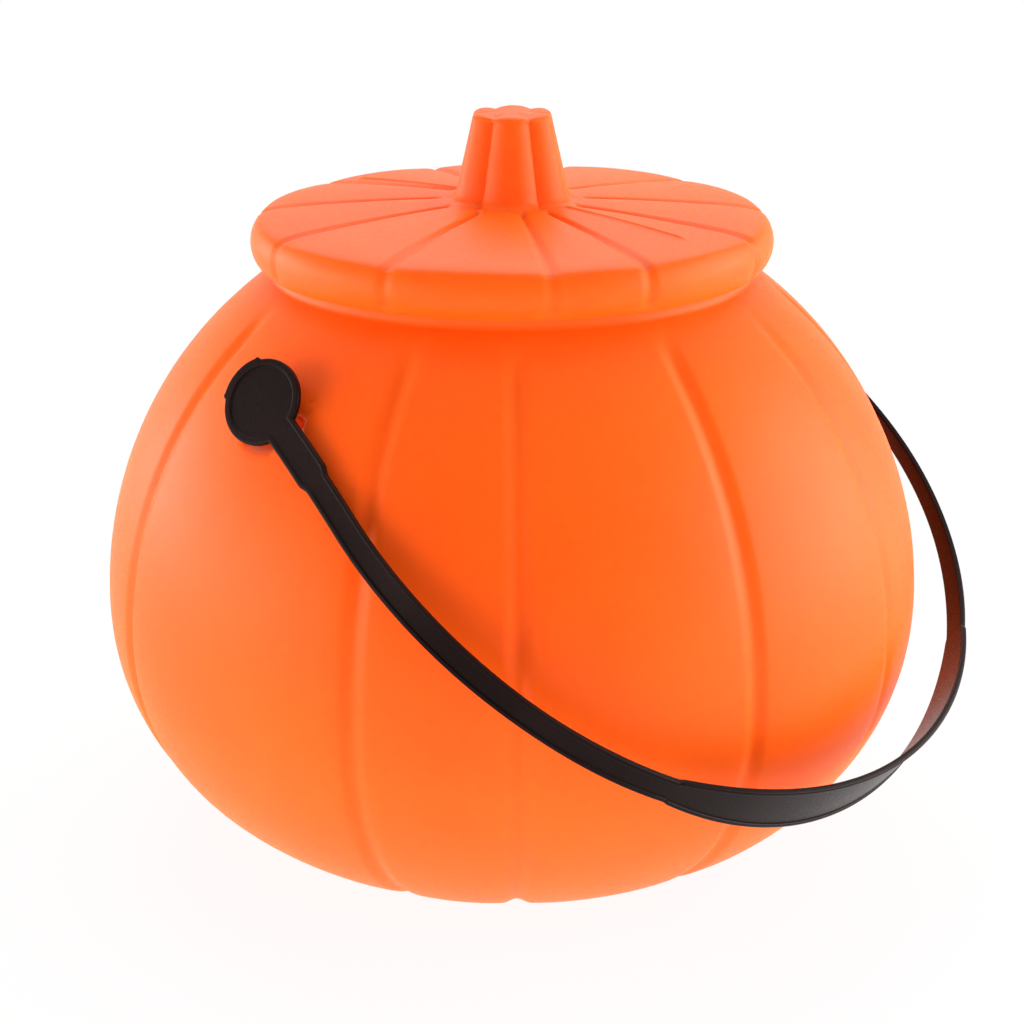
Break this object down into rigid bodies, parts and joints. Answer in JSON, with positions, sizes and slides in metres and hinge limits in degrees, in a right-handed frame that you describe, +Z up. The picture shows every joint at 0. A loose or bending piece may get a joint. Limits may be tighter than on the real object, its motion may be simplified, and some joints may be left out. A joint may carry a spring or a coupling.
{
  "type": "pumpkin candy pail",
  "caption": "Round pumpkin-shaped plastic pail with a lift-off lid that carries a moulded stem, and a strap handle that swings on buttons snapped into the wall.",
  "frame": {"origin": "centre of the flat base, on the pail's axis", "axes": "+Z up along the pail's axis, X along the handle's pivot axis, the handle hangs towards -Y"},
  "size_m": [0.22, 0.2392, 0.1926],
  "materials": {
    "body_plastic": "satin",
    "lid_plastic": "satin",
    "strap_plastic": "satin"
  },
  "bodies": {
    "pail": {"pail_body": "body_plastic"},
    "lid": {"lid": "lid_plastic"},
    "handle": {"handle_strap": "strap_plastic"}
  },
  "joints": [
    {"name": "handle_swing", "type": "hinge", "parent": "pail", "child": "handle", "pos_m": [0, 0, 0.1345], "axis": [-1, 0, 0], "range_deg": [0, 220]},
    {"name": "lid_lift", "type": "slide", "parent": "pail", "child": "lid", "axis": [0, 0, 1], "range_m": [0, 0.2]}
  ]
}
